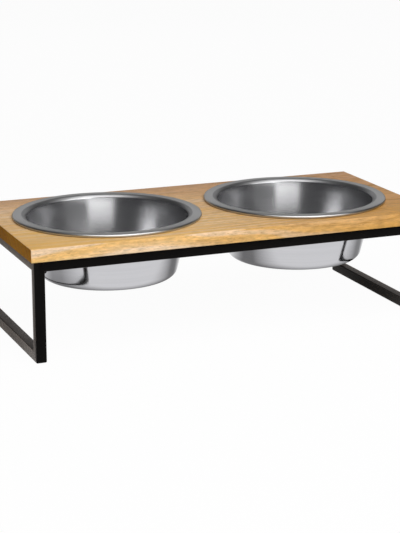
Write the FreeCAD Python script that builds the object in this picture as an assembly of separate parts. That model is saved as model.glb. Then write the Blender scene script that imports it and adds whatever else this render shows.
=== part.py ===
import FreeCAD, Part
import math
import os

# Elevated pet feeder: two steel bowls in a wooden board on a welded stand of square tube.
# Millimetres. X runs along the board, -Y is the front, Z is up.
# The origin is on the floor under the middle of the board.

# Bowls
rim_diameter = 231.0        # outside of the rolled lip
rim_gap = 21.0              # between the two lips
sheet_thickness = 0.9
flange_width = 15.5         # from the lip's outside to the line of the wall
lip_bore_radius = 1.0       # inside of the rolled lip
lip_turn = 230.0            # degrees of roll
bowl_depth = 77.8           # lip top to the underside of the base
upper_draft = 10.5          # degrees, wall under the flange
lower_draft = 14.8          # degrees, wall above the base
knee_height = 36.0          # above the base, where the two drafts meet
flange_bend_radius = 5.0
knee_bend_radius = 700.0    # long curve from one draft to the other
base_bend_radius = 10.5
seat_gap = 0.2              # lip to board

# Board
board_thickness = 16.0
board_end_margin = 19.5     # lip to the ends of the board
board_side_margin = 12.0    # lip to the front and back edges
board_edge_round = 1.2
hole_clearance = 3.0        # bowl wall to the hole in the board

# Stand
frame_height = 121.0        # floor to the underside of the board
frame_setback = 5.0         # stand to the edges of the board
tube_size = 12.7
tube_wall = 1.2
tube_edge_round = 1.5
tube_inner_round = 0.5
loop_corner_round = 2.0     # outer corners of the side loops, ground after welding
weld_leg = 2.5
weld_crown = 0.4            # how far a bead swells out of its triangle

# Plates and screws that hold the board
plate_thickness = 3.0
plate_margin = 8.5          # screw centre to the free edge of a plate
gusset_end_width = 6.0      # blunt ends of a gusset
tab_width = 24.0
tab_corner_round = 3.0
screw_inset = 12.0          # rail and bar faces to the screws
screw_diameter = 4.0
screw_head_overhang = 2.0   # head beyond the shank, all round
screw_head_height = 2.4
screw_head_round = 1.2
screw_point_length = 3.0
screw_point_diameter = 1.0
screw_cover = 5.0           # wood left above the point
plate_hole_clearance = 0.3
pilot_clearance = 0.05
pilot_end_gap = 1.0         # air above the point
recess_width = 1.1
recess_span = 4.4
recess_depth = 1.3

# Sizes that follow from those above
rim_radius = rim_diameter / 2
bowl_spacing = rim_diameter + rim_gap
lip_radius = lip_bore_radius + sheet_thickness
wall_top_radius = rim_radius - flange_width
hole_radius = wall_top_radius + hole_clearance
board_length = bowl_spacing + rim_diameter + 2 * board_end_margin
board_depth = rim_diameter + 2 * board_side_margin
board_top = frame_height + board_thickness
lip_top = board_top + seat_gap + 2 * lip_radius
frame_half_length = board_length / 2 - frame_setback
frame_half_depth = board_depth / 2 - frame_setback
inner_half_length = frame_half_length - tube_size
inner_half_depth = frame_half_depth - tube_size
rail_bottom = frame_height - tube_size
plate_bottom = frame_height - plate_thickness
gusset_leg = 2 * screw_inset + plate_margin * math.sqrt(2) - gusset_end_width
tab_reach = screw_inset + plate_margin
screw_length = plate_thickness + board_thickness - screw_cover

full_turn = 360.0
tolerance = 1e-6


def point(x, y, z):
    return FreeCAD.Vector(x, y, z)


along = point(1, 0, 0)
back = point(0, 1, 0)
up = point(0, 0, 1)


def prism(corners, travel):
    """Solid swept from a closed outline of straight edges."""
    outline = Part.makePolygon(list(corners) + [corners[0]])
    return Part.Face(outline).extrude(travel)


def edges_along(shape, axis):
    """Straight edges of a shape that run along one axis."""
    return [e for e in shape.Edges if e.tangentAt(e.FirstParameter).cross(axis).Length < tolerance]


def rounded_box(low, high, radius, axis):
    """Box whose edges along one axis are rounded."""
    size = high - low
    box = Part.makeBox(size.x, size.y, size.z, low)
    return box.makeFillet(radius, edges_along(box, axis))


# Side loops and rails

def square_tube(low, high, axis):
    """Hollow square tube along one axis that fills the box from low to high."""
    across = point(1, 1, 1) - axis
    outside = rounded_box(low, high, tube_edge_round, axis)
    bore = rounded_box(low + across * tube_wall, high - across * tube_wall, tube_inner_round, axis)
    return outside.cut(bore)


def loop_outline(x_low):
    """Block with the outside shape of a side loop, its four corners rounded."""
    low = point(x_low, -frame_half_depth, 0)
    high = point(x_low + tube_size, frame_half_depth, frame_height)
    return rounded_box(low, high, loop_corner_round, along)


def loop_tube(x_low, outer_ends, inner_ends, axis):
    """One tube of a side loop, mitred at both ends. The ends are (y, z) corners of the loop."""
    corners = [point(x_low, y, z) for y, z in outer_ends + inner_ends[::-1]]
    mitred = prism(corners, along * tube_size).common(loop_outline(x_low))
    ys = [corner.y for corner in corners]
    zs = [corner.z for corner in corners]
    low = point(x_low, min(ys), min(zs))
    high = point(x_low + tube_size, max(ys), max(zs))
    return square_tube(low, high, axis).common(mitred)


def side_loop(side, x_low):
    """Top bar, legs and floor runner of one end of the stand."""
    y_out, y_in = frame_half_depth, inner_half_depth
    top, top_in, floor_in = frame_height, rail_bottom, tube_size
    return {
        side + "_top_bar": loop_tube(
            x_low, [(-y_out, top), (y_out, top)], [(-y_in, top_in), (y_in, top_in)], back),
        side + "_floor_runner": loop_tube(
            x_low, [(-y_out, 0), (y_out, 0)], [(-y_in, floor_in), (y_in, floor_in)], back),
        "front_" + side + "_leg": loop_tube(
            x_low, [(-y_out, 0), (-y_out, top)], [(-y_in, floor_in), (-y_in, top_in)], up),
        "rear_" + side + "_leg": loop_tube(
            x_low, [(y_out, 0), (y_out, top)], [(y_in, floor_in), (y_in, top_in)], up),
    }


def rail(y_low):
    """Long rail between the two side loops, level with their tops."""
    low = point(-inner_half_length, y_low, rail_bottom)
    high = point(inner_half_length, y_low + tube_size, frame_height)
    return square_tube(low, high, along)


def weld_bead(corner, first, second, run):
    """Fillet weld in an inside corner: legs along first and second, length along run."""
    a = corner + first * weld_leg
    b = corner + second * weld_leg
    crown = (a + b) * 0.5 + (first + second).normalize() * weld_crown
    edges = [
        Part.makeLine(corner, a),
        Part.Arc(a, crown, b).toShape(),
        Part.makeLine(b, corner),
    ]
    return Part.Face(Part.Wire(edges)).extrude(run)


def weld_beads():
    """Beads in the inside corners of both loops and where the rails meet them."""
    beads = []
    run_length = tube_size - 2 * tube_edge_round
    for side in (-1, 1):
        x_start = side * (frame_half_length - tube_edge_round)
        inward_x = along * -side
        for end in (-1, 1):
            inward_y = back * -end
            loop_run = inward_x * run_length
            y_in = end * inner_half_depth
            beads.append(weld_bead(point(x_start, y_in, rail_bottom), inward_y, -up, loop_run))
            beads.append(weld_bead(point(x_start, y_in, tube_size), inward_y, up, loop_run))
            under = point(side * inner_half_length, end * (frame_half_depth - tube_edge_round), rail_bottom)
            beads.append(weld_bead(under, inward_x, -up, inward_y * run_length))
            corner = point(side * inner_half_length, y_in, rail_bottom + tube_edge_round)
            rise = plate_bottom - corner.z
            beads.append(weld_bead(corner, inward_x, inward_y, up * rise))
    return Part.makeCompound(beads)


# Plates and screws

def plate_hole(x, y):
    radius = screw_diameter / 2 + plate_hole_clearance
    return Part.makeCylinder(radius, plate_thickness, point(x, y, plate_bottom))


def corner_screw(side, end):
    return side * (inner_half_length - screw_inset), end * (inner_half_depth - screw_inset)


def middle_screw(end):
    return 0.0, end * (inner_half_depth - screw_inset)


def gusset(side, end):
    """Corner plate between a rail and a top bar, flush with their tops."""
    outline = [
        (0, 0),
        (gusset_leg, 0),
        (gusset_leg, gusset_end_width),
        (gusset_end_width, gusset_leg),
        (0, gusset_leg),
    ]
    corners = [
        point(side * (inner_half_length - x), end * (inner_half_depth - y), plate_bottom)
        for x, y in outline
    ]
    plate = prism(corners, up * plate_thickness)
    return plate.cut(plate_hole(*corner_screw(side, end)))


def middle_tab(end):
    """Plate in the middle of a rail, flush with its top, with its free corners rounded."""
    y_rail = end * inner_half_depth
    y_free = end * (inner_half_depth - tab_reach)
    low = point(-tab_width / 2, min(y_rail, y_free), plate_bottom)
    plate = Part.makeBox(tab_width, tab_reach, plate_thickness, low)
    free_edges = [e for e in edges_along(plate, up) if abs(e.CenterOfMass.y - y_free) < tolerance]
    return plate.makeFillet(tab_corner_round, free_edges).cut(plate_hole(*middle_screw(end)))


def screw_places():
    corners = [corner_screw(side, end) for side in (-1, 1) for end in (-1, 1)]
    return corners + [middle_screw(end) for end in (-1, 1)]


def wood_screw(x, y):
    """Pan-head screw driven upwards, its head against the underside of a plate."""
    base = point(x, y, plate_bottom)
    head_bottom = point(x, y, plate_bottom - screw_head_height)
    head = Part.makeCylinder(screw_diameter / 2 + screw_head_overhang, screw_head_height, head_bottom)
    rim = [e for e in head.Edges if e.Closed and abs(e.CenterOfMass.z - head_bottom.z) < tolerance]
    head = head.makeFillet(screw_head_round, rim)
    straight = screw_length - screw_point_length
    shank_radius = screw_diameter / 2 - pilot_clearance
    shank = Part.makeCylinder(shank_radius, straight, base)
    tip = Part.makeCone(shank_radius, screw_point_diameter / 2, screw_point_length, base + up * straight)
    screw = head.fuse([shank, tip]).removeSplitter()
    for length, width in ((recess_span, recess_width), (recess_width, recess_span)):
        slot = Part.makeBox(length, width, recess_depth, head_bottom - point(length / 2, width / 2, 0))
        screw = screw.cut(slot)
    return screw


# Board

def board():
    """Slab with a hole for each bowl and a blind pilot hole for each screw."""
    corner = point(-board_length / 2, -board_depth / 2, frame_height)
    slab = Part.makeBox(board_length, board_depth, board_thickness, corner)
    slab = slab.makeFillet(board_edge_round, slab.Edges)
    for x in (-bowl_spacing / 2, bowl_spacing / 2):
        slab = slab.cut(Part.makeCylinder(hole_radius, board_thickness, point(x, 0, frame_height)))
    top_rims = [e for e in slab.Edges if e.Closed and abs(e.CenterOfMass.z - board_top) < tolerance]
    slab = slab.makeFillet(board_edge_round, top_rims)
    pilot_depth = board_thickness - screw_cover + pilot_end_gap
    for x, y in screw_places():
        slab = slab.cut(Part.makeCylinder(screw_diameter / 2, pilot_depth, point(x, y, frame_height)))
    return slab


# Bowls

def bowl_path():
    """Middle line of the bowl's sheet in (radius, height), with the bend radius at each corner."""
    half = sheet_thickness / 2
    base = lip_top - bowl_depth + half
    flange = lip_top - half
    knee = base + knee_height
    upper_run = (flange - knee) * math.tan(math.radians(upper_draft))
    lower_run = knee_height * math.tan(math.radians(lower_draft))
    corners = [
        (0.0, base, 0.0),
        (wall_top_radius - upper_run - lower_run, base, base_bend_radius),
        (wall_top_radius - upper_run, knee, knee_bend_radius),
        (wall_top_radius, flange, flange_bend_radius),
        (rim_radius - lip_radius, flange, 0.0),
    ]
    return corners


def unit(a, b):
    span = math.hypot(b[0] - a[0], b[1] - a[1])
    return (b[0] - a[0]) / span, (b[1] - a[1]) / span


def bent_edges(path, offset):
    """Lines and arcs along the path, set off to its left by offset."""
    def place(r, z):
        return point(r, 0, z)

    edges = []
    heading = unit(path[0], path[1])
    start = place(path[0][0] - heading[1] * offset, path[0][1] + heading[0] * offset)
    for before, corner, after in zip(path, path[1:], path[2:]):
        into = unit(before, corner)
        out = unit(corner, after)
        cross = into[0] * out[1] - into[1] * out[0]
        side = 1 if cross > 0 else -1
        turn = math.acos(into[0] * out[0] + into[1] * out[1])
        setback = corner[2] * math.tan(turn / 2)
        bend = corner[2] - side * offset
        centre = (
            corner[0] - into[0] * setback - into[1] * side * corner[2],
            corner[1] - into[1] * setback + into[0] * side * corner[2],
        )
        middle = unit(centre, corner)
        arc_start = place(centre[0] + into[1] * side * bend, centre[1] - into[0] * side * bend)
        arc_middle = place(centre[0] + middle[0] * bend, centre[1] + middle[1] * bend)
        arc_end = place(centre[0] + out[1] * side * bend, centre[1] - out[0] * side * bend)
        edges.append(Part.makeLine(start, arc_start))
        edges.append(Part.Arc(arc_start, arc_middle, arc_end).toShape())
        start = arc_end
    last = path[-1]
    edges.append(Part.makeLine(start, place(last[0], last[1] + offset)))
    return edges


def lip_arc(radius):
    """Roll of the lip, from the top of its section outwards and under."""
    centre_r = rim_radius - lip_radius
    centre_z = lip_top - lip_radius

    def at(degrees):
        angle = math.radians(90.0 - degrees)
        return point(centre_r + radius * math.cos(angle), 0, centre_z + radius * math.sin(angle))

    return Part.Arc(at(0), at(lip_turn / 2), at(lip_turn)).toShape()


def bowl(x):
    """Bowl drawn from one sheet, with a flat flange and a rolled lip."""
    path = bowl_path()
    half = sheet_thickness / 2
    inside = bent_edges(path, half) + [lip_arc(lip_radius)]
    outside = bent_edges(path, -half) + [lip_arc(lip_radius - sheet_thickness)]
    ends = [
        Part.makeLine(inside[0].Vertexes[0].Point, outside[0].Vertexes[0].Point),
        Part.makeLine(inside[-1].Vertexes[-1].Point, outside[-1].Vertexes[-1].Point),
    ]
    section = Part.Wire(Part.__sortEdges__(inside + outside + ends))
    turned = Part.Face(section).revolve(point(0, 0, 0), up, full_turn)
    turned.translate(point(x, 0, 0))
    return turned


def pieces():
    nodes = {"board": board()}
    nodes.update(side_loop("left", -frame_half_length))
    nodes.update(side_loop("right", inner_half_length))
    nodes["front_rail"] = rail(-frame_half_depth)
    nodes["rear_rail"] = rail(inner_half_depth)
    for end_name, end in (("front", -1), ("rear", 1)):
        nodes[end_name + "_tab"] = middle_tab(end)
        for side_name, side in (("left", -1), ("right", 1)):
            nodes[end_name + "_" + side_name + "_gusset"] = gusset(side, end)
    nodes["weld_beads"] = weld_beads()
    nodes["board_screws"] = Part.makeCompound([wood_screw(x, y) for x, y in screw_places()])
    nodes["left_bowl"] = bowl(-bowl_spacing / 2)
    nodes["right_bowl"] = bowl(bowl_spacing / 2)
    return nodes


os.makedirs("parts", exist_ok=True)
for name, shape in pieces().items():
    shape.exportStep("parts/" + name + ".step")
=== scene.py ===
import math
import bmesh
import bpy
from mathutils import Matrix, Vector


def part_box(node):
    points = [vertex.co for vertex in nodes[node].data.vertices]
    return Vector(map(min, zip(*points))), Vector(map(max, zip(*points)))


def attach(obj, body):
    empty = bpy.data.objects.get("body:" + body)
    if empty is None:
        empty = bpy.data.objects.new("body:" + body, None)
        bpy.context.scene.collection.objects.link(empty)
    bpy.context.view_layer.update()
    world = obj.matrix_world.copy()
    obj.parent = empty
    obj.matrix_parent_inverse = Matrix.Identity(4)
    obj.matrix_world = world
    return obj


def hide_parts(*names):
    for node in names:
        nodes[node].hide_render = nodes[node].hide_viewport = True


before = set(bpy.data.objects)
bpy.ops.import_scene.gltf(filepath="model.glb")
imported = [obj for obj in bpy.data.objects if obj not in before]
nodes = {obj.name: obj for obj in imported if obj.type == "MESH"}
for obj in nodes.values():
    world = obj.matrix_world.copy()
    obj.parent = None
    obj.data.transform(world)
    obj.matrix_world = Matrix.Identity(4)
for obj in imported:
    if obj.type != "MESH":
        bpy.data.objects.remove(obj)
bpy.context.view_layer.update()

print("frame loaded:", len(nodes), "nodes")

touch = 1e-5            # metres, nearer than this counts as the same place
weld = 1e-6             # metres, vertices nearer than this are merged
aligned = 0.99          # cosine, past this two directions count as the same
creaseAngle = 35        # degrees, the shading breaks at sharper edges
noiseSpan = (0.3, 0.7)  # where most of a noise texture's values lie


# helpers for meshes

def finishPiece(name, bm, body, replaced, materials, sharpAngle=None):
    mesh = bpy.data.meshes.new(name)
    for face in bm.faces:
        face.smooth = True
    bm.to_mesh(mesh)
    bm.free()
    if sharpAngle:
        mesh.set_sharp_from_angle(angle=math.radians(sharpAngle))
    for material in materials:
        mesh.materials.append(material)
    piece = bpy.data.objects.new(name, mesh)
    bpy.context.scene.collection.objects.link(piece)
    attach(piece, body)
    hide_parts(*replaced)
    return piece


def addBlock(bm, low, high):
    place = Matrix.Translation((low + high) / 2) @ Matrix.Diagonal((*(high - low), 1))
    bmesh.ops.create_cube(bm, size=1, matrix=place)


def roundEdges(bm, edges, radius, steps):
    bmesh.ops.bevel(bm, geom=edges, offset=radius, segments=steps, profile=0.5,
                    affect="EDGES", material=-1)


def sharpEdges(bm, degrees=60):
    limit = math.radians(degrees)
    return [edge for edge in bm.edges
            if len(edge.link_faces) == 2 and edge.calc_face_angle() > limit]


def runsAlong(edge, axis):
    return abs((edge.verts[1].co - edge.verts[0].co).normalized()[axis]) > aligned


# helpers for node trees

def newMaterial(name):
    material = bpy.data.materials.new(name)
    material.use_nodes = True
    tree = material.node_tree
    tree.nodes.clear()
    output = tree.nodes.new("ShaderNodeOutputMaterial")
    shader = tree.nodes.new("ShaderNodeBsdfPrincipled")
    tree.links.new(shader.outputs["BSDF"], output.inputs["Surface"])
    return material, tree, shader


def addNode(tree, kind, inputs=None, **settings):
    node = tree.nodes.new("ShaderNode" + kind)
    for key, value in settings.items():
        setattr(node, key, value)
    for socket, value in (inputs or {}).items():
        if isinstance(value, bpy.types.NodeSocket):
            tree.links.new(value, node.inputs[socket])
        else:
            node.inputs[socket].default_value = value
    return node


def calc(tree, operation, first, second=0.0):
    return addNode(tree, "Math", {0: first, 1: second}, operation=operation).outputs[0]


def mapRange(tree, value, low, high, toLow, toHigh):
    inputs = {"Value": value, "From Min": low, "From Max": high, "To Min": toLow, "To Max": toHigh}
    return addNode(tree, "MapRange", inputs).outputs["Result"]


def mixColor(tree, factor, first, second, blend="MIX"):
    node = addNode(tree, "Mix", data_type="RGBA", blend_type=blend)
    for index, value in ((0, factor), (6, first), (7, second)):
        if isinstance(value, bpy.types.NodeSocket):
            tree.links.new(value, node.inputs[index])
        elif index == 0:
            node.inputs[index].default_value = value
        else:
            node.inputs[index].default_value = (*value, 1.0)
    return node.outputs[2]


def tint(tree, color, value, low, high):
    # darkens or lightens a colour by a grey value that runs from low to high
    grey = mapRange(tree, value, *noiseSpan, low, high)
    greyColor = addNode(tree, "CombineColor", {0: grey, 1: grey, 2: grey}).outputs[0]
    return mixColor(tree, 1.0, color, greyColor, "MULTIPLY")


def objectPlace(tree, scale=(1, 1, 1), shift=(0, 0, 0)):
    coords = addNode(tree, "TexCoord")
    inputs = {"Vector": coords.outputs["Object"], "Scale": scale, "Location": shift}
    return addNode(tree, "Mapping", inputs).outputs["Vector"]


def noise(tree, place, scale, detail=3.0):
    inputs = {"Vector": place, "Scale": scale, "Detail": detail}
    return addNode(tree, "TexNoise", inputs).outputs["Fac"]


def paint(tree, shader, color, rough):
    tree.links.new(color, shader.inputs["Base Color"])
    tree.links.new(rough, shader.inputs["Roughness"])


def addBump(tree, shader, height, strength, distance):
    bump = addNode(tree, "Bump", {"Height": height, "Strength": strength, "Distance": distance})
    tree.links.new(bump.outputs["Normal"], shader.inputs["Normal"])


# finishes

coat = {
    "color": (0.0018, 0.0015, 0.0013),
    "clouding": (0.7, 1.4),     # darkest and lightest share of the colour
    "cloudScale": 45.0,
    "gloss": 0.05,
    "haze": 0.8,                # pale bloom at low angles
    "hazeRough": 0.31,
    "hazeColor": (1.0, 0.85, 0.75),
    "rough": (0.25, 0.36),
    "grain": 0.0008,
    "grainDepth": 0.0001,
    "bump": 0.25,
}


def powderCoat():
    material, tree, shader = newMaterial("powderCoat")
    shader.inputs["Specular IOR Level"].default_value = coat["gloss"]
    shader.inputs["Sheen Weight"].default_value = coat["haze"]
    shader.inputs["Sheen Roughness"].default_value = coat["hazeRough"]
    shader.inputs["Sheen Tint"].default_value = (*coat["hazeColor"], 1)
    peel = noise(tree, objectPlace(tree), 1 / coat["grain"])
    cloud = noise(tree, objectPlace(tree), coat["cloudScale"])
    color = tint(tree, coat["color"], cloud, *coat["clouding"])
    paint(tree, shader, color, mapRange(tree, cloud, *noiseSpan, *coat["rough"]))
    addBump(tree, shader, peel, coat["bump"], coat["grainDepth"])
    return material


zinc = {
    "dull": (0.42, 0.42, 0.43),
    "bright": (0.60, 0.60, 0.58),
    "cloudScale": 900.0,
    "rough": (0.31, 0.45),
}


def zincPlate():
    material, tree, shader = newMaterial("zincPlate")
    shader.inputs["Metallic"].default_value = 1.0
    cloud = noise(tree, objectPlace(tree), zinc["cloudScale"])
    color = mixColor(tree, cloud, zinc["dull"], zinc["bright"])
    paint(tree, shader, color, mapRange(tree, cloud, *noiseSpan, *zinc["rough"]))
    return material


wood = {
    "straw": (0.92, 0.72, 0.50),
    "golden": (0.89, 0.565, 0.205),
    "amber": (0.57, 0.285, 0.045),     # towards the right, and in the fibres
    "brown": (0.36, 0.165, 0.022),     # dark streaks
    "shadedTopTone": (0.74, 0.42, 0.10),       # painted shade: deeper colour on top at the front left, where less sheen is reflected
    "tan": (0.57, 0.325, 0.175),       # heartwood, towards the back
    "pore": (0.34, 0.155, 0.04),
    "endGrain": (0.50, 0.30, 0.02),    # how much the cut ends darken
    "mottling": (0.82, 1.18),          # darkest and lightest share of the colour
    "gloss": 0.25,
    "rough": (0.42, 0.56),
    "endRough": 0.4,                   # added on the cut ends
    "bump": 0.35,
    "bumpDepth": 0.0002,
    "pith": (0.06, 0.02),              # y and z of the middle of the log
    "ringPitch": 0.006,
    "ringDetail": 4.0,
    "ringSway": 0.025,                 # how far the rings wander along the board
    "amberSwing": 0.12,                # how much a colour's share varies in patches
    "tanSwing": 0.35,
}

# noise along the board, noise across it, detail, shift
woodGrain = {
    "sway": (2.2, 9.0, 3.0, 0.0),
    "fibre": (12.0, 900.0, 2.0, 0.0),
    "mottle": (110.0, 420.0, 3.0, 3.1),
    "patch": (1.6, 8.0, 2.0, 7.3),
    "streak": (20.0, 260.0, 4.0, 1.7),
    "pore": (1 / 0.005, 1 / 0.0007, 1.0, 5.9),
}

# from and to, then the share at each; a place on the board is in metres
woodRamp = {
    "ring": (0.38, 0.62, 0.0, 1.0),
    "amberRight": (-0.10, 0.20, 0.0, 0.85),
    "tanBack": (-0.10, 0.09, 0.0, 0.9),
    "streak": (0.53, 0.62, 0.0, 1.0),
    "streakRight": (-0.12, 0.24, 0.08, 0.8),
    "fibre": (0.40, 0.70, 0.0, 0.2),
    "pore": (0.63, 0.70, 0.0, 0.55),
    "shadedTopLeft": (-0.27, 0.05, 0.85, 0.0),
    "shadedTopFront": (-0.12, 0.05, 1.0, 0.0),
    "facing": (0.6, 0.9, 0.0, 1.0),
}


def boardWood():
    material, tree, shader = newMaterial("boardWood")
    shader.inputs["Specular IOR Level"].default_value = wood["gloss"]

    def grain(name):
        # noise drawn out along the board
        along, across, detail, shift = woodGrain[name]
        place = objectPlace(tree, (along, across, across), (shift, shift, shift))
        return noise(tree, place, 1.0, detail)

    def ramp(name, value):
        return mapRange(tree, value, *woodRamp[name])

    def inPatches(share, swing):
        return calc(tree, "ADD", share, mapRange(tree, patch, *noiseSpan, -swing, swing))

    pithY, pithZ = wood["pith"]
    arm = objectPlace(tree, (0, 1, 1), (0, -pithY, -pithZ))
    reach = addNode(tree, "VectorMath", {0: arm}, operation="LENGTH").outputs["Value"]
    sway = mapRange(tree, grain("sway"), 0.0, 1.0, -wood["ringSway"], wood["ringSway"])
    rings = calc(tree, "DIVIDE", calc(tree, "ADD", reach, sway), wood["ringPitch"])
    ringInputs = {"W": rings, "Scale": 1.0, "Detail": wood["ringDetail"]}
    ring = addNode(tree, "TexNoise", ringInputs, noise_dimensions="1D").outputs["Fac"]
    fibre, mottle, patch = grain("fibre"), grain("mottle"), grain("patch")
    place = addNode(tree, "SeparateXYZ", {0: objectPlace(tree)})
    x, y = place.outputs["X"], place.outputs["Y"]

    # the left end is sapwood, the right end deeper, the back edge heartwood
    color = mixColor(tree, ramp("ring", ring), wood["golden"], wood["straw"])
    amber = inPatches(ramp("amberRight", x), wood["amberSwing"])
    color = mixColor(tree, amber, color, wood["amber"])
    tan = inPatches(ramp("tanBack", y), wood["tanSwing"])
    color = mixColor(tree, tan, color, wood["tan"])
    streaks = calc(tree, "MULTIPLY", ramp("streak", grain("streak")), ramp("streakRight", x))
    color = mixColor(tree, streaks, color, wood["brown"])
    color = mixColor(tree, ramp("fibre", fibre), color, wood["amber"])
    color = tint(tree, color, mottle, *wood["mottling"])
    pores = ramp("pore", grain("pore"))
    color = mixColor(tree, pores, color, wood["pore"])

    facing = addNode(tree, "SeparateXYZ", {0: addNode(tree, "TexCoord").outputs["Normal"]})
    # painted shade: the top at the front left gets a deeper colour, standing in for weaker sheen there
    frontLeft = calc(tree, "MULTIPLY", ramp("shadedTopLeft", x), ramp("shadedTopFront", y))
    onTop = ramp("facing", facing.outputs["Z"])
    color = mixColor(tree, calc(tree, "MULTIPLY", frontLeft, onTop), color, wood["shadedTopTone"])
    cutEnd = ramp("facing", calc(tree, "ABSOLUTE", facing.outputs["X"]))
    endColor = mixColor(tree, 1.0, color, wood["endGrain"], "MULTIPLY")
    color = mixColor(tree, cutEnd, color, endColor)
    rough = mapRange(tree, mottle, *noiseSpan, *wood["rough"])
    rough = calc(tree, "ADD", rough, calc(tree, "MULTIPLY", cutEnd, wood["endRough"]))
    paint(tree, shader, color, rough)
    addBump(tree, shader, calc(tree, "SUBTRACT", fibre, pores), wood["bump"], wood["bumpDepth"])
    return material


steel = {
    "inside": {"color": (0.575, 0.575, 0.585), "rough": 0.235, "brushed": 0.35, "lines": 0.06},
    # painted shade: the bend's darker colour dims the lamps' highlight along it
    "bend": {"color": (0.40, 0.40, 0.405), "rough": 0.42, "brushed": 0.3, "lines": 0.1},
    "flange": {"color": (0.53, 0.53, 0.525), "rough": 0.335, "brushed": 0.5, "lines": 0.2},
    # painted reflection: the outside's faint blue stands in for a bluish fill it mirrors
    "outside": {"color": (0.60, 0.60, 0.625), "rough": 0.12, "brushed": 0.5, "lines": 0.2},
}

# marks from spinning, the same kind on every part of a bowl
spun = {
    "turn": 0.25,               # brushed round the bowl
    "linesPerMetre": 420.0,
    "drift": 3.0,               # how fast the lines change round the bowl
    "shade": (0.12, 0.08),      # how much the lines darken and lighten
    "roughSwing": 0.10,
    "cloudScale": 35.0,
    "cloudRough": (0.97, 1.06),
}


def bowlSteel(part):
    finish = steel[part]
    material, tree, shader = newMaterial("bowlSteel." + part)
    shader.inputs["Metallic"].default_value = 1.0
    shader.inputs["Anisotropic"].default_value = finish["brushed"]
    shader.inputs["Anisotropic Rotation"].default_value = spun["turn"]
    tangent = addNode(tree, "Tangent", direction_type="UV_MAP", uv_map="sheet")
    tree.links.new(tangent.outputs["Tangent"], shader.inputs["Tangent"])
    # fine lines round the bowl, slow changes along them
    sheetMap = addNode(tree, "UVMap", uv_map="sheet").outputs["UV"]
    outward = addNode(tree, "SeparateXYZ", {0: sheetMap}).outputs["Y"]
    across = calc(tree, "MULTIPLY", outward, spun["linesPerMetre"])
    place = addNode(tree, "SeparateXYZ", {0: objectPlace(tree, (spun["drift"],) * 3)})
    lines = {0: place.outputs["X"], 1: place.outputs["Y"], 2: across}
    fine = noise(tree, addNode(tree, "CombineXYZ", lines).outputs[0], 1.0, 1.0)
    cloud = noise(tree, objectPlace(tree), spun["cloudScale"])
    darker, lighter = [share * finish["lines"] for share in spun["shade"]]
    color = tint(tree, finish["color"], fine, 1 - darker, 1 + lighter)
    swing = spun["roughSwing"] * finish["lines"]
    smoothest, roughest = [share * finish["rough"] for share in spun["cloudRough"]]
    rough = calc(tree, "ADD", mapRange(tree, fine, *noiseSpan, -swing, swing),
                 mapRange(tree, cloud, *noiseSpan, smoothest, roughest))
    paint(tree, shader, color, rough)
    return material


coatFinish = powderCoat()
zincFinish = zincPlate()
woodFinish = boardWood()
insideSteel, shadedBendSteel, flangeSteel, outsideSteel = [bowlSteel(part) for part in steel]
print("finishes made")


# bowls: one spun sheet each, flat flange, rolled lip

bowl = {
    "sheet": 0.0009,
    "flange": 0.0155,               # lip outside to the wall's line
    "lipRadius": 0.0019,
    "lipTurn": 230.0,
    "lipSteps": 10,
    "upperDraft": 10.5,
    "lowerDraft": 14.8,
    "kneeHeight": 0.036,
    "bends": (0.0105, 0.7, 0.005),  # base, knee and flange
    "bendSteps": (10, 12, 8),
    "bendReach": (-0.0006, 0.004),  # from the wall's line, where the finish changes
    "around": 192,
}


def roundCorner(bm, vert, radius, steps):
    first, second = [edge.other_vert(vert).co - vert.co for edge in vert.link_edges]
    turn = math.pi - first.angle(second)
    bmesh.ops.bevel(bm, geom=[vert], offset=radius * math.tan(turn / 2), segments=steps, profile=0.5,
                    affect="VERTICES", material=-1)


def layOutSheet(bm, center):
    # around the bowl in u, out along the sheet in v
    layer = bm.loops.layers.uv.new("sheet")
    for face in bm.faces:
        middle = face.calc_center_median() - center
        faceAngle = math.atan2(middle.y, middle.x)
        for loop in face.loops:
            arm = loop.vert.co - center
            radius = math.hypot(arm.x, arm.y)
            angle = math.atan2(arm.y, arm.x) if radius > touch else faceAngle
            angle += 2 * math.pi * round((faceAngle - angle) / (2 * math.pi))
            loop[layer].uv = (angle / (2 * math.pi), radius + arm.z)


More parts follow.
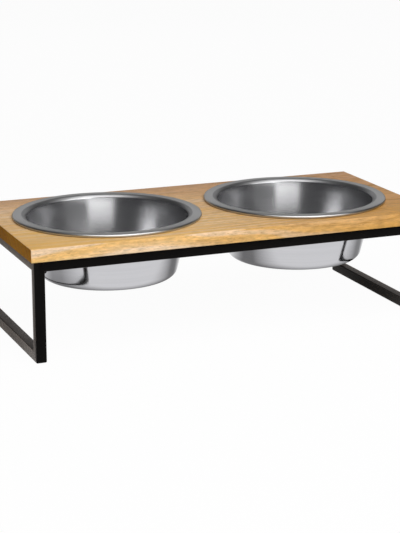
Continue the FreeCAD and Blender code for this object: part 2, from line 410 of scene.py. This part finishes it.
def makeBowl(node, name, body):
    low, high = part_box(node)
    center = Vector(((low.x + high.x) / 2, (low.y + high.y) / 2, 0))
    half = bowl["sheet"] / 2
    rimRadius = (high.x - low.x) / 2
    base, flange = low.z + half, high.z - half
    knee = base + bowl["kneeHeight"]
    wallTop = rimRadius - bowl["flange"]
    kneeRadius = wallTop - (flange - knee) * math.tan(math.radians(bowl["upperDraft"]))
    baseRadius = kneeRadius - bowl["kneeHeight"] * math.tan(math.radians(bowl["lowerDraft"]))
    lipCenter = Vector((rimRadius - bowl["lipRadius"], 0, high.z - bowl["lipRadius"]))

    bm = bmesh.new()
    section = [(0, base), (baseRadius, base), (kneeRadius, knee), (wallTop, flange),
               (lipCenter.x, flange)]
    verts = [bm.verts.new((r, 0, z)) for r, z in section]
    for first, second in zip(verts, verts[1:]):
        bm.edges.new((first, second))
    bmesh.ops.spin(bm, geom=[verts[-1]], cent=lipCenter, axis=(0, 1, 0),
                   angle=math.radians(bowl["lipTurn"]), steps=bowl["lipSteps"])
    for vert, radius, steps in zip(verts[1:4], bowl["bends"], bowl["bendSteps"]):
        roundCorner(bm, vert, radius, steps)
    bmesh.ops.spin(bm, geom=bm.verts[:] + bm.edges[:], cent=(0, 0, 0), axis=(0, 0, 1),
                   angle=2 * math.pi, steps=bowl["around"], use_merge=True)
    bmesh.ops.remove_doubles(bm, verts=bm.verts, dist=weld)
    bmesh.ops.recalc_face_normals(bm, faces=bm.faces)
    bottom = min(bm.faces, key=lambda face: face.calc_center_median().xy.length)
    if bottom.normal.z < 0:
        bmesh.ops.reverse_faces(bm, faces=bm.faces)
    # inside, then the bend into the flange, then the flange
    bendStart, bendEnd = bowl["bendReach"]
    for face in bm.faces:
        reach = face.calc_center_median().xy.length - wallTop
        face.material_index = int(reach >= bendStart) + int(reach >= bendEnd)
    bmesh.ops.translate(bm, verts=bm.verts, vec=center)
    layOutSheet(bm, center)
    upperFinishes = [insideSteel, shadedBendSteel, flangeSteel]
    finishes = upperFinishes + [outsideSteel] * len(upperFinishes)
    piece = finishPiece(name, bm, body, [node], finishes)
    sheet = piece.modifiers.new("sheetThickness", "SOLIDIFY")
    sheet.thickness = bowl["sheet"]
    sheet.offset = 0.0
    sheet.material_offset = len(upperFinishes)


makeBowl("left_bowl", "leftBowlSheet", "left_bowl")
makeBowl("right_bowl", "rightBowlSheet", "right_bowl")
print("bowls spun")


# board: two halves, each a square drawn out around its hole

board = {"holeGap": 0.003, "edgeRound": 0.0012, "edgeSteps": 3, "aroundHole": 128}


def makeBoard():
    low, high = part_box("board")

    def atHoleBottom(edge):
        spot = edge.verts[0].co
        inside = abs(spot.x) < high.x - touch and abs(spot.y) < high.y - touch
        return inside and spot.z < low.z + touch

    bm = bmesh.new()
    for side in ("left_bowl", "right_bowl"):
        rimLow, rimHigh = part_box(side)
        middle = (rimLow.x + rimHigh.x) / 2
        holeRadius = (rimHigh.x - rimLow.x) / 2 - bowl["flange"] + board["holeGap"]
        outer = high.x if middle > 0 else low.x
        reach = Matrix.Diagonal((abs(outer) / 2, high.y, 1, 1))
        place = Matrix.Translation((outer / 2, 0, low.z)) @ reach
        square = bmesh.ops.create_grid(bm, x_segments=1, y_segments=1, size=1, matrix=place)["verts"]
        bmesh.ops.delete(bm, geom=square[0].link_faces[:], context="FACES_ONLY")
        bmesh.ops.subdivide_edges(bm, edges=[edge for edge in bm.edges if edge.is_wire],
                                  cuts=board["aroundHole"] // 4 - 1)
        bmesh.ops.create_circle(bm, radius=holeRadius, segments=board["aroundHole"],
                                matrix=Matrix.Translation((middle, 0, low.z)))
        bmesh.ops.bridge_loops(bm, edges=[edge for edge in bm.edges if edge.is_wire])
    bmesh.ops.remove_doubles(bm, verts=bm.verts, dist=weld)
    raised = bmesh.ops.extrude_face_region(bm, geom=bm.faces[:])["geom"]
    bmesh.ops.translate(bm, verts=[item for item in raised if isinstance(item, bmesh.types.BMVert)],
                        vec=(0, 0, high.z - low.z))
    bmesh.ops.recalc_face_normals(bm, faces=bm.faces)
    eased = [edge for edge in sharpEdges(bm) if not atHoleBottom(edge)]
    roundEdges(bm, eased, board["edgeRound"], board["edgeSteps"])
    finishPiece("boardSlab", bm, "stand", ["board"], [woodFinish], creaseAngle)


makeBoard()
print("board made")


# stand: side loops ground smooth at their corners, rails let into them

tube = {
    "size": 0.0127,
    "edgeRound": 0.0015,
    "edgeSteps": 3,
    "cornerRound": 0.002,
    "cornerSteps": 4,
    "railEmbed": 0.0015,
}


def makeLoop(side, name):
    parts = [side + "_top_bar", side + "_floor_runner",
             "front_" + side + "_leg", "rear_" + side + "_leg"]
    boxes = [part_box(part) for part in parts]
    low = Vector(map(min, *[box[0] for box in boxes]))
    high = Vector(map(max, *[box[1] for box in boxes]))
    bm = bmesh.new()
    addBlock(bm, low, high)
    ends = [face for face in bm.faces if abs(face.normal.x) > aligned]
    bmesh.ops.inset_individual(bm, faces=ends, thickness=tube["size"], use_even_offset=True)
    bmesh.ops.delete(bm, geom=ends, context="FACES_ONLY")
    bmesh.ops.bridge_loops(bm, edges=[edge for edge in bm.edges if edge.is_boundary])
    bmesh.ops.recalc_face_normals(bm, faces=bm.faces)
    corners = [edge for edge in bm.edges
               if runsAlong(edge, 0) and abs(edge.verts[0].co.y) > high.y - touch]
    roundEdges(bm, corners, tube["cornerRound"], tube["cornerSteps"])
    longEdges = [edge for edge in sharpEdges(bm) if not runsAlong(edge, 0)]
    roundEdges(bm, longEdges, tube["edgeRound"], tube["edgeSteps"])
    finishPiece(name, bm, "stand", parts, [coatFinish], creaseAngle)


def makeRail(node, name):
    low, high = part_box(node)
    embed = Vector((tube["railEmbed"], 0, 0))
    bm = bmesh.new()
    addBlock(bm, low - embed, high + embed)
    longEdges = [edge for edge in bm.edges if runsAlong(edge, 0)]
    roundEdges(bm, longEdges, tube["edgeRound"], tube["edgeSteps"])
    finishPiece(name, bm, "stand", [node], [coatFinish], creaseAngle)


makeLoop("left", "leftLoop")
makeLoop("right", "rightLoop")
makeRail("front_rail", "frontRailTube")
makeRail("rear_rail", "rearRailTube")
print("stand made")


# finishes on the solids, coat where nothing else is named

solidFinish = {
    "board": woodFinish,
    "left_bowl": zincFinish,
    "right_bowl": zincFinish,
    "board_screws": zincFinish,
}
for nodeName, node in nodes.items():
    node.data.materials.clear()
    node.data.materials.append(solidFinish.get(nodeName, coatFinish))
print("solids dressed")


# floor, light and camera

floor = {
    "size": 14.0,
    "color": (0.86, 0.86, 0.86),
    "rough": 0.9,
    "white": 0.965,                             # share of plain white, seen directly
    "mirrored": 0.85,                           # the same, mirrored in metal
    "shadeMiddle": 0.02,                        # y of the painted shadow under the board, seen mirrored
    "shadeAcross": (0.03, 0.14, 1.0, 0.0),      # full and gone, from its middle
    "shadeAlong": (-0.32, -0.25, 0.6, 0.75),    # weaker left of the stand
    "fade": (0.22, 0.40, 1.0, 0.35),            # y where the painted shade of the mirrored floor starts and ends
}


def makeFloor():
    bm = bmesh.new()
    bmesh.ops.create_grid(bm, x_segments=1, y_segments=1, size=floor["size"])
    mesh = bpy.data.meshes.new("studioFloor")
    bm.to_mesh(mesh)
    bm.free()
    plane = bpy.data.objects.new("studioFloor", mesh)
    bpy.context.scene.collection.objects.link(plane)
    material, tree, shader = newMaterial("paleFloor")
    shader.inputs["Base Color"].default_value = (*floor["color"], 1)
    shader.inputs["Roughness"].default_value = floor["rough"]
    shader.inputs["Specular IOR Level"].default_value = 0.0
    # nearly plain white seen directly; mirrored in metal it carries a painted shadow under the board and
    # painted shade at the back
    path = addNode(tree, "LightPath")
    direct = path.outputs["Is Camera Ray"]
    mirrored = calc(tree, "ADD", path.outputs["Is Glossy Ray"], path.outputs["Is Transmission Ray"])
    share = calc(tree, "MAXIMUM", calc(tree, "MULTIPLY", mirrored, floor["mirrored"]),
                 calc(tree, "MULTIPLY", direct, floor["white"]))
    place = addNode(tree, "SeparateXYZ", {0: objectPlace(tree)})
    x, y = place.outputs["X"], place.outputs["Y"]
    away = calc(tree, "ABSOLUTE", calc(tree, "SUBTRACT", y, floor["shadeMiddle"]))
    shade = calc(tree, "MULTIPLY", mapRange(tree, away, *floor["shadeAcross"]),
                 mapRange(tree, x, *floor["shadeAlong"]))
    fade = mapRange(tree, y, *floor["fade"])
    light = calc(tree, "MULTIPLY", calc(tree, "SUBTRACT", 1.0, shade), fade)
    light = calc(tree, "MAXIMUM", direct, light)
    white = addNode(tree, "Emission", {"Color": (1, 1, 1, 1), "Strength": light})
    mix = addNode(tree, "MixShader", {0: share, 1: shader.outputs["BSDF"], 2: white.outputs["Emission"]})
    output = next(node for node in tree.nodes if node.type == "OUTPUT_MATERIAL")
    tree.links.new(mix.outputs["Shader"], output.inputs["Surface"])
    mesh.materials.append(material)


# turn is degrees from straight in front towards the right, rise is degrees above the floor
softboxes = {
    "sideBox": {"turn": 25, "rise": 34.5, "away": 2.5, "size": (1.9, 1.25), "glow": 3.0},
    "highBox": {"turn": -12, "rise": 58, "away": 2.4, "size": (2.2, 1.7), "glow": 2.75},
    "lowBox": {"turn": -12, "rise": 6, "away": 2.6, "size": (1.75, 0.8), "glow": 2.0},
    "overhead": {"turn": 20, "rise": 80, "away": 2.4, "size": (2.6, 2.0), "glow": 0.8},
    "backCard": {"turn": 160, "rise": 17, "away": 3.0, "size": (4.0, 1.0), "glow": 0.52},
}
aim = (0.0, 0.0, 0.12)
surround = (0.05, 0.05, 0.053)


def addSoftbox(name):
    box = softboxes[name]
    turn, rise = math.radians(box["turn"]), math.radians(box["rise"])
    level = math.cos(rise)
    way = Vector((math.sin(turn) * level, -math.cos(turn) * level, math.sin(rise)))
    light = bpy.data.lights.new(name, "AREA")
    light.shape = "RECTANGLE"
    light.size, light.size_y = box["size"]
    light.energy = box["glow"] * math.pi * light.size * light.size_y
    lamp = bpy.data.objects.new(name, light)
    lamp.location = Vector(aim) + way * box["away"]
    lamp.rotation_euler = (-way).to_track_quat("-Z", "Y").to_euler()
    bpy.context.scene.collection.objects.link(lamp)


makeFloor()
for boxName in softboxes:
    addSoftbox(boxName)
world = bpy.data.worlds.new("studioWorld")
world.use_nodes = True
world.node_tree.nodes["Background"].inputs["Color"].default_value = (*surround, 1)
bpy.context.scene.world = world

camera = {
    "place": (-0.7807, -1.9061, 0.6117),
    "heading": 22.176,      # degrees from +Y towards +X
    "dip": 15.0,            # degrees below level
    "focalPixels": 1695.07,
    "imageHeight": 533,
    "sensor": 36.0,
}


def makeCamera():
    lens = bpy.data.cameras.new("photoCamera")
    lens.sensor_width = camera["sensor"]
    lens.lens = camera["focalPixels"] * camera["sensor"] / camera["imageHeight"]
    holder = bpy.data.objects.new("photoCamera", lens)
    holder.location = camera["place"]
    holder.rotation_euler = (math.radians(90 - camera["dip"]), 0, -math.radians(camera["heading"]))
    bpy.context.scene.collection.objects.link(holder)
    bpy.context.scene.camera = holder


makeCamera()
bpy.context.scene.view_settings.view_transform = "Standard"
print("stage set")

bpy.context.view_layer.update()
